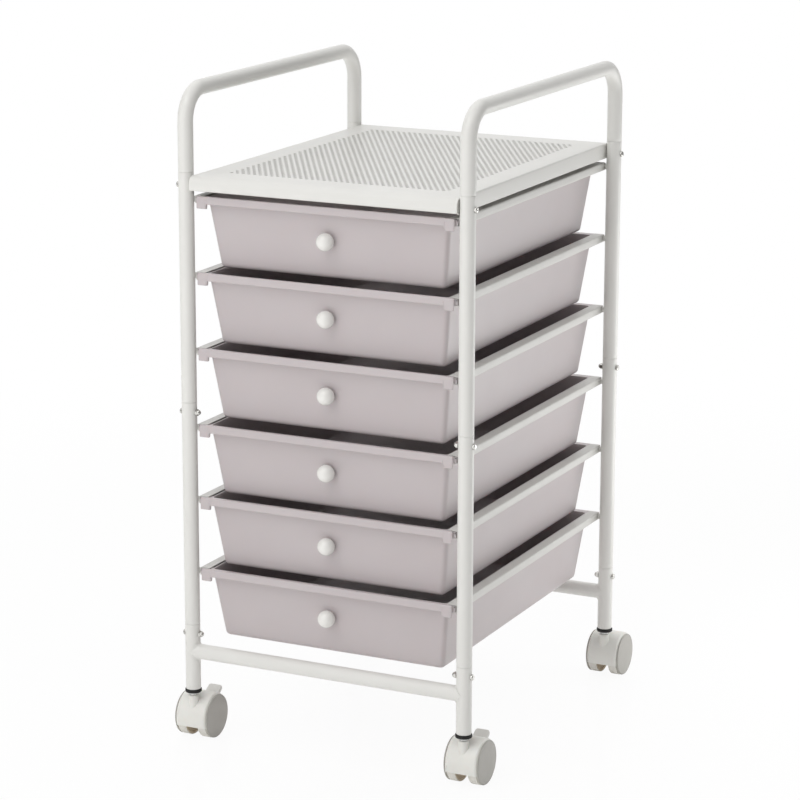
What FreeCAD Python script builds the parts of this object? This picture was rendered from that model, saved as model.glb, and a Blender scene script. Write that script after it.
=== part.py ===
import FreeCAD, Part
import math
import os

# Six-drawer rolling cart. Millimetres, +Z up, floor at zero. Front faces -Y, right side is +X.
# The four posts stand symmetrically about X zero and about postCentreY.

vec = FreeCAD.Vector
acrossX = vec(1, 0, 0)
alongY = vec(0, 1, 0)
upZ = vec(0, 0, 1)
overrun = 2.0                  # how far a cutting shape runs past the face it opens

# Frame tubes
postSpanX = 314.0              # between the axes of the left and the right posts
postSpanY = 380.5              # between the axes of the front and the rear posts
tubeRadius = 8.0
tubeWall = 1.0
sectionLength = 240.0          # one post section, from seam to seam
footLength = 71.8              # lowest section, from its open end to its upper seam
spigotLength = 25.0            # reduced end that enters the tube below
spigotPlay = 0.1
neckLength = 3.0               # thick ring where the reduced end starts
crossbarDrop = 30.1            # from a foot's upper seam down to the axis of the crossbar
handleRise = 82.1              # from the upper seam to the axis of the handle's bar
handleBendRadius = 32.0

# Fasteners
boltRadius = 1.75
boltHolePlay = 0.2
boltDrop = 10.8                # from a seam down to the frame bolt
shelfScrewDrop = 13.7          # from the upper seam down to the shelf screw
headRadius = 3.1
headHeight = 2.4
headRounding = 1.3
headPlay = 0.05
nutAcrossFlats = 6.2
nutHexHeight = 2.4
nutDomeRadius = 2.8
nutBorePlay = 0.05
nutGrip = 4.0                  # length of the screw inside the cap nut

# Drawer rails, C channels that open inward
railSheet = 0.8
railHeight = 8.5
railWidth = 12.0
railPostGap = 1.0              # between the channel's web and the posts
railEndGap = 3.5               # by which a channel is shorter than the span of the posts
railBendRadius = 1.5
upperRailDrop = 23.8           # from the upper seam down to the top of the first rail
upperRailMargin = 2.7          # what the pitches of the upper rails leave over of a section
lowerRailDrop = 22.7           # from the middle seam down to the top of the fourth rail
lowerRailMargin = 7.5
railsPerSection = 3
weldRadius = 2.0
weldBite = 0.3                 # how far a weld bead reaches into the web
weldSetback = 3.7              # from the post's axis inward to the bead

# Drawers
drawerPlay = 0.3               # between the drawer's side rim and the channel
drawerStackGap = 1.5           # between a drawer's bottom and the top of the next rail
drawerWall = 1.8
drawerFloor = 2.0
drawerSideGap = 4.0            # between the body's upper edge and the channels
drawerSideTaper = 3.0          # by which each side leans in over the body's height
drawerEndReach = 1.5           # from the channels' ends out to the body's upper edge
drawerEndTaper = 18.4
drawerCornerRadius = 9.0
drawerBottomRounding = 4.0
rimSideGap = 2.7               # between the rim and the channel's web
rimFrontReach = 3.5            # front band, in front of the body's upper edge
rimBandHeight = 8.2
rimBandRise = 0.2              # front band above the top of the rails
rimFlange = 2.0
rimSkirt = 1.5
tabWidth = 11.5                # stop tabs at the ends of the front band
tabHeight = 11.0
tabInset = 0.5

# Knobs
knobRadius = 9.2
knobReach = 7.0                # from the drawer's face to the centre of the ball
knobDrop = 34.4                # from the top of the rail down to the knob's hole
knobShankRadius = 2.9
knobShankPlay = 0.1
knobBarbRadius = 3.7
knobBarbLength = 2.0

# Top shelf
shelfSheet = 1.0
shelfRise = 3.0                # from the shelf's top up to the upper seam
shelfOverhang = 17.5           # by which the shelf is deeper than the span of the posts
shelfSidePlay = 0.1            # between the side flanges and the posts
shelfFlangeHeight = 16.0
shelfFlangeBend = 1.6
shelfFlangeSetback = 4.0       # from a rolled edge in to the end of the side flanges
lipRadius = 8.0                # rolled front and rear edges
lipHeight = 15.0
lipReturn = 7.0
lipLowerRadius = 2.0

# Casters
wheelRadius = 23.5
wheelInnerX = 7.0              # inner face of a wheel from the stem's plane
wheelOuterX = 18.8
wheelDiscRadius = 21.3
wheelDiscStep = 2.3            # disc in front of the tread's shoulder
wheelDiscBevel = 0.7
wheelEdge = 0.8
wheelRecessDepth = 2.6
wheelRecessInner = 7.5
wheelRecessOuter = 20.0
casterTrail = 16.0             # from the stem's axis back to the wheel axle
casterPlay = 0.5               # between a wheel and the hood around it
turningPlay = 0.3              # between faces that turn against each other
shaftPlay = 0.05
hoodShell = 0.8
hoodEdgeRadius = 3.0
hoodSideGap = 1.0              # hood's side edge behind the face of the wheel's disc
hoodBottomRise = 15.5
bossRadius = 5.5
bossRise = 2.0                 # top of the stem's boss above the hood
axleRadius = 2.5
axleReach = 15.0               # half the axle's length
stemRadius = 3.9
stemDepth = 18.5               # stem inside the hood's boss
stemUpperLength = 26.0         # stem above the lower end of the post
collarRadius = 5.5
collarHeight = 4.3
socketFlange = 2.3
socketFlangeRadius = 8.8
socketLength = 28.0
socketPlay = 0.1

# Brake levers on the front casters
leverAngle = 33.0              # above level, towards the rear of the hood
leverTravel = 14.0
leverHubRadius = 6.0
leverArmHalfX = 2.2
leverArmThickness = 4.0
leverPadRoot = 14.5
leverPadTip = 12.2
leverPadThickness = 3.0
leverTipRadius = 38.0
leverRounding = 1.2

# Places that follow from the sizes above
postX = postSpanX / 2
postY = postSpanY / 2
postCentreY = -casterTrail
tubeBore = tubeRadius - tubeWall
spigotOuter = tubeBore - spigotPlay
spigotInner = spigotOuter - tubeWall
boltHoleRadius = boltRadius + boltHolePlay
hoodRadius = wheelRadius + casterPlay + hoodShell
bossTop = wheelRadius + hoodRadius + bossRise
footBottom = bossTop + turningPlay + collarHeight + socketFlange
lowSeam = footBottom + footLength
midSeam = lowSeam + sectionLength
topSeam = midSeam + sectionLength
shelfTop = topSeam - shelfRise
shelfHalfX = postX - tubeRadius - shelfSidePlay
shelfDepth = postSpanY + shelfOverhang
shelfFlangeSpan = shelfDepth - shelfFlangeSetback - shelfFlangeSetback
railWebX = postX - tubeRadius - railPostGap
railLength = postSpanY - railEndGap
upperRailPitch = (sectionLength - upperRailMargin) / railsPerSection
lowerRailPitch = (sectionLength - lowerRailMargin) / railsPerSection
drawerHeight = lowerRailPitch - drawerStackGap
drawerTopHalfX = railWebX - railWidth - drawerSideGap
drawerBottomHalfX = drawerTopHalfX - drawerSideTaper
drawerTopHalfY = railLength / 2 + drawerEndReach
drawerBottomHalfY = drawerTopHalfY - drawerEndTaper
rimHalfX = railWebX - railSheet - rimSideGap
upperRailTops = [topSeam - upperRailDrop - i * upperRailPitch for i in range(railsPerSection)]
lowerRailTops = [midSeam - lowerRailDrop - i * lowerRailPitch for i in range(railsPerSection)]
railTops = upperRailTops + lowerRailTops
cornerPlaces = [("front_left", -1, -1), ("front_right", 1, -1), ("rear_left", -1, 1), ("rear_right", 1, 1)]


def cylinder(radius, start, end):
    axis = end.sub(start)
    return Part.makeCylinder(radius, axis.Length, start, axis)


def block(lowX, highX, lowY, highY, lowZ, highZ):
    return Part.makeBox(highX - lowX, highY - lowY, highZ - lowZ, vec(lowX, lowY, lowZ))


def moved(shape, x, y, z):
    result = shape.copy()
    result.translate(vec(x, y, z))
    return result


def mirrored(shape, normal):
    return shape.mirror(vec(0, 0, 0), normal)


def fused(shapes):
    whole = shapes[0]
    for shape in shapes[1:]:
        whole = whole.fuse(shape)
    return whole.removeSplitter()


def roundedFace(points, radii):
    # Closed outline through the points; each corner is an arc of its radius, or sharp at zero.
    count = len(points)
    starts = []
    ends = []
    middles = []
    for i in range(count):
        corner = points[i]
        back = points[i - 1].sub(corner).normalize()
        ahead = points[(i + 1) % count].sub(corner).normalize()
        half = back.getAngle(ahead) / 2
        reach = radii[i] / math.tan(half)
        starts.append(corner.add(back * reach))
        ends.append(corner.add(ahead * reach))
        towards = back.add(ahead)
        if radii[i] > 0:
            towards.normalize()
            middles.append(corner.add(towards * (radii[i] / math.sin(half) - radii[i])))
        else:
            middles.append(corner)
    edges = []
    for i in range(count):
        if radii[i] > 0:
            edges.append(Part.Arc(starts[i], middles[i], ends[i]).toShape())
        nextStart = starts[(i + 1) % count]
        if nextStart.sub(ends[i]).Length > Part.Precision.confusion():
            edges.append(Part.LineSegment(ends[i], nextStart).toShape())
    return Part.Face(Part.Wire(edges))


def turned(points, radii, origin, axis):
    # Solid of revolution of a rounded outline.
    return roundedFace(points, radii).revolve(origin, axis, 360)


def boltHole(x, y, z):
    reach = tubeRadius + overrun
    return cylinder(boltHoleRadius, vec(x - reach, y, z), vec(x + reach, y, z))


def tubeFace(centre, normal):
    outer = Part.Face(Part.Wire(Part.makeCircle(tubeRadius, centre, normal)))
    inner = Part.Face(Part.Wire(Part.makeCircle(tubeBore, centre, normal)))
    return outer.cut(inner).Faces[0]


def reducedEnd(seam, boltZ):
    # Neck above the seam and the narrower end that enters the tube below it.
    neckTop = seam + neckLength
    low = seam - spigotLength
    outline = [vec(tubeRadius, 0, seam), vec(tubeRadius, 0, neckTop), vec(spigotInner, 0, neckTop),
               vec(spigotInner, 0, low), vec(spigotOuter, 0, low), vec(spigotOuter, 0, seam)]
    return turned(outline, [0] * len(outline), vec(0, 0, 0), upZ).cut(boltHole(0, 0, boltZ))


def postSection(lowZ, highZ, upperDrop):
    # Straight tube with a reduced lower end and a bolt hole through each end.
    tubeLow = lowZ + neckLength
    tube = tubeFace(vec(0, 0, tubeLow), upZ).extrude(vec(0, 0, highZ - tubeLow))
    tube = tube.cut(boltHole(0, 0, highZ - upperDrop))
    return fused([tube, reducedEnd(lowZ, lowZ - boltDrop)])


def handle():
    # Tube that rises from both seams of one side and runs level between two equal bends.
    barZ = topSeam + handleRise
    bendZ = barZ - handleBendRadius
    legTop = topSeam + neckLength
    turnY = postY - handleBendRadius
    leg = tubeFace(vec(0, -postY, legTop), upZ).extrude(vec(0, 0, bendZ - legTop))
    bend = tubeFace(vec(0, -postY, bendZ), upZ).revolve(vec(0, -turnY, bendZ), vec(-1, 0, 0), 90)
    bar = tubeFace(vec(0, -turnY, barZ), alongY).extrude(vec(0, turnY + turnY, 0))
    foot = moved(reducedEnd(topSeam, topSeam - shelfScrewDrop), 0, -postY, 0)
    half = [leg, bend, foot]
    other = [mirrored(shape, alongY) for shape in half]
    return fused(half + [bar] + other)


def rail(top, side):
    outerX = railWebX
    innerX = railWebX - railWidth
    faceX = railWebX - railSheet
    bottom = top - railHeight
    startY = -railLength / 2
    outline = [(innerX, top), (outerX, top), (outerX, bottom), (innerX, bottom), (innerX, bottom + railSheet),
               (faceX, bottom + railSheet), (faceX, top - railSheet), (innerX, top - railSheet)]
    insideBend = railBendRadius - railSheet
    bends = [0, railBendRadius, railBendRadius, 0, 0, insideBend, insideBend, 0]
    channel = roundedFace([vec(x, startY, z) for x, z in outline], bends).extrude(vec(0, railLength, 0))
    shapes = [channel]
    beadX = railWebX + weldRadius - weldBite
    for end in (-1, 1):
        beadY = end * (postY - weldSetback)
        bead = cylinder(weldRadius, vec(beadX, beadY, bottom + railBendRadius), vec(beadX, beadY, top - railBendRadius))
        post = cylinder(tubeRadius, vec(postX, end * postY, bottom), vec(postX, end * postY, top))
        slot = block(innerX, faceX, beadY - weldRadius, beadY + weldRadius, bottom, top)
        shapes.append(bead.cut(post).cut(slot))
    whole = fused(shapes)
    return whole if side > 0 else mirrored(whole, acrossX)


def base():
    # Two feet joined by a crossbar, coped and welded to them.
    barZ = lowSeam - crossbarDrop
    outside = [cylinder(tubeRadius, vec(-postX, 0, barZ), vec(postX, 0, barZ))]
    bores = [cylinder(tubeBore, vec(-postX, 0, barZ), vec(postX, 0, barZ))]
    for side in (-1, 1):
        x = side * postX
        outside.append(cylinder(tubeRadius, vec(x, 0, footBottom), vec(x, 0, lowSeam)))
        bores.append(cylinder(tubeBore, vec(x, 0, footBottom - overrun), vec(x, 0, lowSeam + overrun)))
        bores.append(boltHole(x, 0, lowSeam - boltDrop))
    return fused(outside).cut(bores)


def shelf():
    # Sheet tray with side flanges between the posts and rolled lips at the front and the rear.
    half = shelfDepth / 2
    lowLip = shelfTop - lipHeight
    inner = half - shelfSheet
    backEdge = half - lipReturn
    joinY = half - lipRadius - shelfSheet
    section = [(joinY, shelfTop), (half, shelfTop), (half, lowLip), (backEdge, lowLip),
               (backEdge, lowLip + shelfSheet), (inner, lowLip + shelfSheet),
               (inner, shelfTop - shelfSheet), (joinY, shelfTop - shelfSheet)]
    radii = [0, lipRadius, lipLowerRadius, 0, 0, lipLowerRadius - shelfSheet, lipRadius - shelfSheet, 0]
    lip = roundedFace([vec(-shelfHalfX, y, z) for y, z in section], radii)
    lip = lip.extrude(vec(shelfHalfX + shelfHalfX, 0, 0))
    flangeBottom = shelfTop - shelfFlangeHeight
    innerX = shelfHalfX - shelfSheet
    tray = [(-shelfHalfX, flangeBottom), (-shelfHalfX, shelfTop), (shelfHalfX, shelfTop), (shelfHalfX, flangeBottom),
            (innerX, flangeBottom), (innerX, shelfTop - shelfSheet), (-innerX, shelfTop - shelfSheet),
            (-innerX, flangeBottom)]
    bend = shelfFlangeBend
    insideBend = bend - shelfSheet
    trayRadii = [0, bend, bend, 0, 0, insideBend, insideBend, 0]
    pan = roundedFace([vec(x, -joinY, z) for x, z in tray], trayRadii).extrude(vec(0, joinY + joinY, 0))
    shapes = [pan, lip, mirrored(lip, alongY)]
    flangeEnd = shelfFlangeSpan / 2
    flangeTop = shelfTop - lipRadius
    for side in (-1, 1):
        for end in (-1, 1):
            xs = sorted((side * innerX, side * shelfHalfX))
            ys = sorted((end * joinY, end * flangeEnd))
            shapes.append(block(xs[0], xs[1], ys[0], ys[1], flangeBottom, flangeTop))
    whole = fused(shapes)
    reach = shelfHalfX + overrun
    screwZ = topSeam - shelfScrewDrop
    for end in (-1, 1):
        y = end * postY
        whole = whole.cut(cylinder(boltHoleRadius, vec(-reach, y, screwZ), vec(reach, y, screwZ)))
    return whole


def screw(grip, crossed):
    # Domed screw along +X: the head's seat is at x zero and the shank runs to -grip.
    outline = [vec(-grip, 0, 0), vec(-grip, 0, boltRadius), vec(0, 0, boltRadius), vec(0, 0, headRadius),
               vec(headHeight, 0, headRadius), vec(headHeight, 0, 0)]
    shape = turned(outline, [0, 0, 0, 0, headRounding, 0], vec(0, 0, 0), acrossX)
    if not crossed:
        return shape
    slotHalf = headRadius / 7
    slotReach = headRadius / 2
    slotFloor = headHeight / 2
    lying = block(slotFloor, headHeight + overrun, -slotReach, slotReach, -slotHalf, slotHalf)
    upright = block(slotFloor, headHeight + overrun, -slotHalf, slotHalf, -slotReach, slotReach)
    return shape.cut(lying.fuse(upright))


def capNut():
    # Domed cap nut along -X with its seat at x zero.
    cornerRadius = nutAcrossFlats / math.sqrt(3)
    corners = [vec(0, cornerRadius * math.sin(math.radians(60 * i)), cornerRadius * math.cos(math.radians(60 * i)))
               for i in range(6)]
    hexagon = Part.Face(Part.makePolygon(corners + corners[:1])).extrude(vec(-nutHexHeight, 0, 0))
    neck = cylinder(nutDomeRadius, vec(0, 0, 0), vec(-nutHexHeight, 0, 0))
    dome = Part.makeSphere(nutDomeRadius, vec(-nutHexHeight, 0, 0))
    bore = cylinder(boltRadius + nutBorePlay, vec(overrun, 0, 0), vec(-nutGrip, 0, 0))
    return fused([hexagon, neck, dome]).cut(bore)


def fastened(x, y, z, side, seatInner, crossed):
    # Screw from the outer side of a post and the cap nut on its inner side.
    seatOuter = tubeRadius + headPlay
    grip = seatOuter + seatInner + nutGrip - nutBorePlay
    bolt = screw(grip, crossed)
    nut = moved(capNut(), -seatOuter - seatInner, 0, 0)
    if side < 0:
        bolt = mirrored(bolt, acrossX)
        nut = mirrored(nut, acrossX)
    return moved(bolt, x + side * seatOuter, y, z), moved(nut, x + side * seatOuter, y, z)


def fasteners():
    frameBolts = []
    shelfScrews = []
    nuts = []
    frameSeat = tubeRadius + headPlay
    shelfSeat = postX - shelfHalfX + shelfSheet + headPlay
    for name, side, end in cornerPlaces:
        for seam in (lowSeam, midSeam):
            bolt, nut = fastened(side * postX, end * postY, seam - boltDrop, side, frameSeat, False)
            frameBolts.append(bolt)
            nuts.append(nut)
        bolt, nut = fastened(side * postX, end * postY, topSeam - shelfScrewDrop, side, shelfSeat, True)
        shelfScrews.append(bolt)
        nuts.append(nut)
    return frameBolts, shelfScrews, nuts


# Drawer levels are measured from the top of its rail.
flangeTop = -railSheet - drawerPlay
bandTop = rimBandRise
drawerBottom = bandTop - drawerHeight
frontSlope = (drawerTopHalfY - drawerBottomHalfY) / (flangeTop - drawerBottom)
sideSlope = (drawerTopHalfX - drawerBottomHalfX) / (flangeTop - drawerBottom)


def drawerOutline(level, inset):
    halfX = drawerTopHalfX - (flangeTop - level) * sideSlope - inset
    halfY = drawerTopHalfY - (flangeTop - level) * frontSlope - inset
    corners = [vec(-halfX, -halfY, level), vec(halfX, -halfY, level), vec(halfX, halfY, level), vec(-halfX, halfY, level)]
    return roundedFace(corners, [drawerCornerRadius - inset] * len(corners)).OuterWire


def tapered(low, high, inset):
    return Part.makeLoft([drawerOutline(low, inset), drawerOutline(high, inset)], True, True)


def lowEdges(shape, level):
    return [edge for edge in shape.Edges
            if all(abs(point.Point.z - level) < Part.Precision.confusion() for point in edge.Vertexes)]


def drawer():
    floorTop = drawerBottom + drawerFloor
    body = tapered(drawerBottom, flangeTop, 0)
    body = body.makeFillet(drawerBottomRounding, lowEdges(body, drawerBottom))
    room = tapered(floorTop, flangeTop + overrun, drawerWall)
    room = room.makeFillet(drawerBottomRounding - drawerWall, lowEdges(room, floorTop))
    rearY = drawerTopHalfY + rimFrontReach
    frontY = -drawerTopHalfY
    bandFront = frontY - rimFrontReach
    skirtBottom = -railHeight + railSheet + drawerPlay
    flange = block(-rimHalfX, rimHalfX, frontY, rearY, flangeTop - rimFlange, flangeTop)
    band = block(-rimHalfX, rimHalfX, bandFront, frontY, bandTop - rimBandHeight, bandTop)
    shapes = [body, flange, band, block(-rimHalfX, rimHalfX, rearY - rimSkirt, rearY, skirtBottom, flangeTop)]
    tabOuter = rimHalfX - tabInset
    for side in (-1, 1):
        skirtXs = sorted((side * rimHalfX, side * (rimHalfX - rimSkirt)))
        shapes.append(block(skirtXs[0], skirtXs[1], frontY, rearY, skirtBottom, flangeTop))
        tabXs = sorted((side * tabOuter, side * (tabOuter - tabWidth)))
        shapes.append(block(tabXs[0], tabXs[1], bandFront, frontY, bandTop - tabHeight, bandTop))
    return fused(shapes).cut(room).cut(knobTool(knobShankRadius + knobShankPlay))


def knobFrame(shape):
    # From the knob's own axis, +Z outward with its seat at zero, to its place on the sloped face.
    tilt = math.degrees(math.atan(frontSlope))
    faceY = drawerTopHalfY - (flangeTop + knobDrop) * frontSlope
    result = shape.copy()
    result.rotate(vec(0, 0, 0), acrossX, 90 + tilt)
    result.translate(vec(0, -faceY, -knobDrop))
    return result


def knobTool(radius):
    return knobFrame(cylinder(radius, vec(0, 0, -knobReach), vec(0, 0, knobReach)))


def knob():
    # Ball with a flat seat, and a shank through the wall with a barbed end.
    wall = drawerWall * math.cos(math.atan(frontSlope))
    ball = Part.makeSphere(knobRadius, vec(0, 0, knobReach))
    lower = block(-knobRadius, knobRadius, -knobRadius, knobRadius, -knobRadius, 0)
    shank = cylinder(knobShankRadius, vec(0, 0, 0), vec(0, 0, -wall - knobShankPlay - knobBarbLength))
    barbTop = -wall - knobShankPlay
    barb = Part.makeCone(knobBarbRadius, knobShankRadius, knobBarbLength, vec(0, 0, barbTop), vec(0, 0, -1))
    return knobFrame(fused([ball.cut(lower), shank, barb]))


def socket():
    # Plastic insert in a foot's lower end, with a flange under the tube.
    outer = tubeBore - socketPlay
    bore = stemRadius + shaftPlay
    top = footBottom + socketLength
    low = footBottom - socketFlange
    outline = [vec(bore, 0, low), vec(socketFlangeRadius, 0, low), vec(socketFlangeRadius, 0, footBottom),
               vec(outer, 0, footBottom), vec(outer, 0, top), vec(bore, 0, top)]
    edge = socketFlange / 3
    return turned(outline, [0, edge, edge, 0, 0, 0], vec(0, 0, 0), upZ)


def stem():
    collarTop = footBottom - socketFlange
    collarLow = collarTop - collarHeight
    low = bossTop - stemDepth
    top = footBottom + stemUpperLength
    tip = stemRadius / 3
    outline = [vec(0, 0, low), vec(stemRadius - tip, 0, low), vec(stemRadius, 0, low + tip),
               vec(stemRadius, 0, collarLow), vec(collarRadius, 0, collarLow), vec(collarRadius, 0, collarTop),
               vec(stemRadius, 0, collarTop), vec(stemRadius, 0, top - tip), vec(stemRadius - tip, 0, top),
               vec(0, 0, top)]
    edge = collarHeight / 5
    return turned(outline, [0, 0, 0, 0, edge, edge, 0, 0, 0, 0], vec(0, 0, 0), upZ)


def armShape(angle, low, high, halfX, halfThickness):
    # Slab that points away from the axle at an angle above level.
    slab = block(-halfX, halfX, low, high, -halfThickness, halfThickness)
    slab.rotate(vec(0, 0, 0), acrossX, angle)
    return slab


def leverPocket():
    # Room for the lever's hub, and for its arm over the whole travel.
    play = turningPlay
    halfX = leverArmHalfX + play
    halfArm = leverArmThickness / 2 + play
    reach = hoodRadius + overrun
    hub = cylinder(leverHubRadius + play, vec(-halfX, 0, 0), vec(halfX, 0, 0))
    corners = []
    for angle, side in ((leverAngle - leverTravel, -1), (leverAngle, 1)):
        turn = math.radians(angle)
        for distance in (0, reach):
            y = distance * math.cos(turn) - side * halfArm * math.sin(turn)
            z = distance * math.sin(turn) + side * halfArm * math.cos(turn)
            corners.append(vec(-halfX, y, z))
    outline = [corners[0], corners[1], corners[3], corners[2]]
    fan = Part.Face(Part.makePolygon(outline + outline[:1])).extrude(vec(halfX + halfX, 0, 0))
    return hub.fuse(fan)


def hood(withLever):
    # Shell over both wheels with a web between them; the axle's axis is the origin here.
    edgeX = wheelOuterX - hoodSideGap
    webX = wheelInnerX - casterPlay
    cavity = hoodRadius - hoodShell
    innerEdge = hoodEdgeRadius - hoodShell
    rimRadius = hoodRadius - hoodEdgeRadius
    outline = [vec(0, 0, 0), vec(0, 0, hoodRadius), vec(edgeX, 0, hoodRadius), vec(edgeX, 0, rimRadius),
               vec(edgeX - hoodShell, 0, rimRadius), vec(edgeX - hoodShell, 0, cavity), vec(webX, 0, cavity),
               vec(webX, 0, 0)]
    half = turned(outline, [0, 0, hoodEdgeRadius, 0, 0, innerEdge, 0, 0], vec(0, 0, 0), acrossX)
    whole = fused([half, mirrored(half, acrossX)])
    wide = hoodRadius + overrun
    whole = whole.cut(block(-wide, wide, -wide, wide, -wide, hoodBottomRise - wheelRadius))
    bossLevel = bossTop - wheelRadius
    boss = cylinder(bossRadius, vec(0, -casterTrail, 0), vec(0, -casterTrail, bossLevel))
    boss = boss.makeFillet(bossRadius / 6, [edge for edge in boss.Edges if edge.BoundBox.ZMin > bossLevel / 2])
    whole = fused([whole, boss])
    stemBore = stemRadius + shaftPlay
    boreLow = bossLevel - stemDepth - turningPlay
    whole = whole.cut(cylinder(stemBore, vec(0, -casterTrail, boreLow), vec(0, -casterTrail, bossLevel + overrun)))
    whole = whole.cut(cylinder(axleRadius, vec(-wide, 0, 0), vec(wide, 0, 0)))
    if withLever:
        whole = whole.cut(leverPocket())
    return whole


def axle():
    # Plain pin with chamfered ends.
    tip = axleRadius / 5
    outline = [vec(-axleReach, 0, 0), vec(-axleReach, 0, axleRadius - tip), vec(tip - axleReach, 0, axleRadius),
               vec(axleReach - tip, 0, axleRadius), vec(axleReach, 0, axleRadius - tip), vec(axleReach, 0, 0)]
    return turned(outline, [0] * len(outline), vec(0, 0, 0), acrossX)


def wheel():
    # Right-hand wheel: tread with a rounded shoulder, outer disc, dished inner side, blind bore.
    bore = axleRadius + shaftPlay
    boreEnd = axleReach + turningPlay
    shoulderX = wheelOuterX - wheelDiscStep
    shoulderRadius = hoodEdgeRadius - hoodShell - casterPlay
    recessFloor = wheelInnerX + wheelRecessDepth
    outline = [vec(boreEnd, 0, 0), vec(boreEnd, 0, bore), vec(wheelInnerX, 0, bore),
               vec(wheelInnerX, 0, wheelRecessInner), vec(recessFloor, 0, wheelRecessInner),
               vec(recessFloor, 0, wheelRecessOuter), vec(wheelInnerX, 0, wheelRecessOuter),
               vec(wheelInnerX, 0, wheelRadius), vec(shoulderX, 0, wheelRadius),
               vec(shoulderX, 0, wheelDiscRadius), vec(wheelOuterX, 0, wheelDiscRadius), vec(wheelOuterX, 0, 0)]
    radii = [0, 0, 0, 0, wheelEdge, wheelEdge, 0, wheelEdge, shoulderRadius, 0, wheelDiscBevel, 0]
    return turned(outline, radii, vec(0, 0, 0), acrossX)


def lever():
    # Hub on the axle between the web's cheeks, arm through the slot, pad outside the hood.
    start = hoodRadius + turningPlay
    hub = cylinder(leverHubRadius, vec(-leverArmHalfX, 0, 0), vec(leverArmHalfX, 0, 0))
    arm = armShape(leverAngle, 0, start + leverRounding, leverArmHalfX, leverArmThickness / 2)
    halfRoot = leverPadRoot / 2
    halfTip = leverPadTip / 2
    low = -leverPadThickness / 2
    corners = [vec(-halfRoot, start, low), vec(halfRoot, start, low), vec(halfTip, leverTipRadius, low),
               vec(-halfTip, leverTipRadius, low)]
    corner = leverPadThickness
    pad = roundedFace(corners, [leverRounding, leverRounding, corner, corner]).extrude(vec(0, 0, leverPadThickness))
    rims = [edge for edge in pad.Edges if edge.BoundBox.ZLength < leverRounding]
    pad = pad.makeFillet(leverRounding, rims)
    pad.rotate(vec(0, 0, 0), acrossX, leverAngle)
    reach = leverArmHalfX + overrun
    bore = cylinder(axleRadius + shaftPlay, vec(-reach, 0, 0), vec(reach, 0, 0))
    return fused([hub, arm, pad]).cut(bore)


def keep(name, shape):
    solids = shape if isinstance(shape, list) else [shape]
    placed = [moved(solid, 0, postCentreY, 0) for solid in solids]
    whole = placed[0] if len(placed) == 1 else Part.makeCompound(placed)
    whole.exportStep(os.path.join("parts", name + ".step"))
    print(name, "solids", len(whole.Solids), "volume", round(whole.Volume, 1), "valid", whole.isValid())


def keepFrame():
    handleShape = handle()
    upperPost = postSection(midSeam, topSeam, shelfScrewDrop)
    lowerPost = postSection(lowSeam, midSeam, boltDrop)
    baseShape = base()
    for sideName, side in (("left", -1), ("right", 1)):
        keep("handle_" + sideName, moved(handleShape, side * postX, 0, 0))
        for i, top in enumerate(railTops):
            keep("rail_" + str(i + 1) + "_" + sideName, rail(top, side))
    for name, side, end in cornerPlaces:
        keep("upper_post_" + name, moved(upperPost, side * postX, end * postY, 0))
        keep("lower_post_" + name, moved(lowerPost, side * postX, end * postY, 0))
    keep("base_front", moved(baseShape, 0, -postY, 0))
    keep("base_rear", moved(baseShape, 0, postY, 0))
    keep("top_shelf", shelf())
    frameBolts, shelfScrews, nuts = fasteners()
    keep("frame_bolts", frameBolts)
    keep("shelf_screws", shelfScrews)
    keep("cap_nuts", nuts)


def keepDrawers():
    drawerShape = drawer()
    knobShape = knob()
    for i, top in enumerate(railTops):
        keep("drawer_" + str(i + 1), moved(drawerShape, 0, 0, top))
        keep("knob_" + str(i + 1), moved(knobShape, 0, 0, top))


def keepCasters():
    socketShape = socket()
    stemShape = stem()
    corners = [(side * postX, end * postY) for name, side, end in cornerPlaces]
    keep("caster_sockets", [moved(socketShape, x, y, 0) for x, y in corners])
    keep("caster_stems", [moved(stemShape, x, y, 0) for x, y in corners])
    rightWheel = wheel()
    leftWheel = mirrored(rightWheel, acrossX)
    axleShape = axle()
    leverShape = lever()
    for name, side, end in cornerPlaces:
        x = side * postX
        y = end * postY + casterTrail
        z = wheelRadius
        keep("caster_hood_" + name, moved(hood(end < 0), x, y, z))
        keep("caster_axle_" + name, moved(axleShape, x, y, z))
        keep("wheel_" + name + "_a", moved(leftWheel, x, y, z))
        keep("wheel_" + name + "_b", moved(rightWheel, x, y, z))
        if end < 0:
            keep("brake_lever_" + name, moved(leverShape, x, y, z))


os.makedirs("parts", exist_ok=True)
keepFrame()
keepDrawers()
keepCasters()
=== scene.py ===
import math

import bpy
import numpy as np
from mathutils import Matrix


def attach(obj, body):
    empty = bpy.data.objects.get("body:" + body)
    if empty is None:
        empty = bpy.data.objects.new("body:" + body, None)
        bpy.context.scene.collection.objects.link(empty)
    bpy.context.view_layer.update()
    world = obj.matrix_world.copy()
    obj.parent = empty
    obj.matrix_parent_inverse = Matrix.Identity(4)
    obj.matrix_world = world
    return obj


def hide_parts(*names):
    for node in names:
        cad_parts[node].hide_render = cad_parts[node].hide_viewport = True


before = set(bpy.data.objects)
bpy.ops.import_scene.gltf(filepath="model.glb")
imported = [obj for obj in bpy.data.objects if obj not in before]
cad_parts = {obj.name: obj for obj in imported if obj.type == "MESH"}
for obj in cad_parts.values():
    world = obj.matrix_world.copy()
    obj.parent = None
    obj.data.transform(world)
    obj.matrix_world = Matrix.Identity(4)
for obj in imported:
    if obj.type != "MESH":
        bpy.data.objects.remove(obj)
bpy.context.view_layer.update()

mm = 0.001                                     # sizes below are millimetres, meshes are metres
casterTrail = 16.0                             # the axles stand this far behind their posts
rowShift = np.array([0.0, -casterTrail, 0.0])  # pieces are drawn about the posts' centre, then moved here
corners = {"front_left": (-1, -1), "front_right": (1, -1), "rear_left": (-1, 1), "rear_right": (1, 1)}
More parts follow.
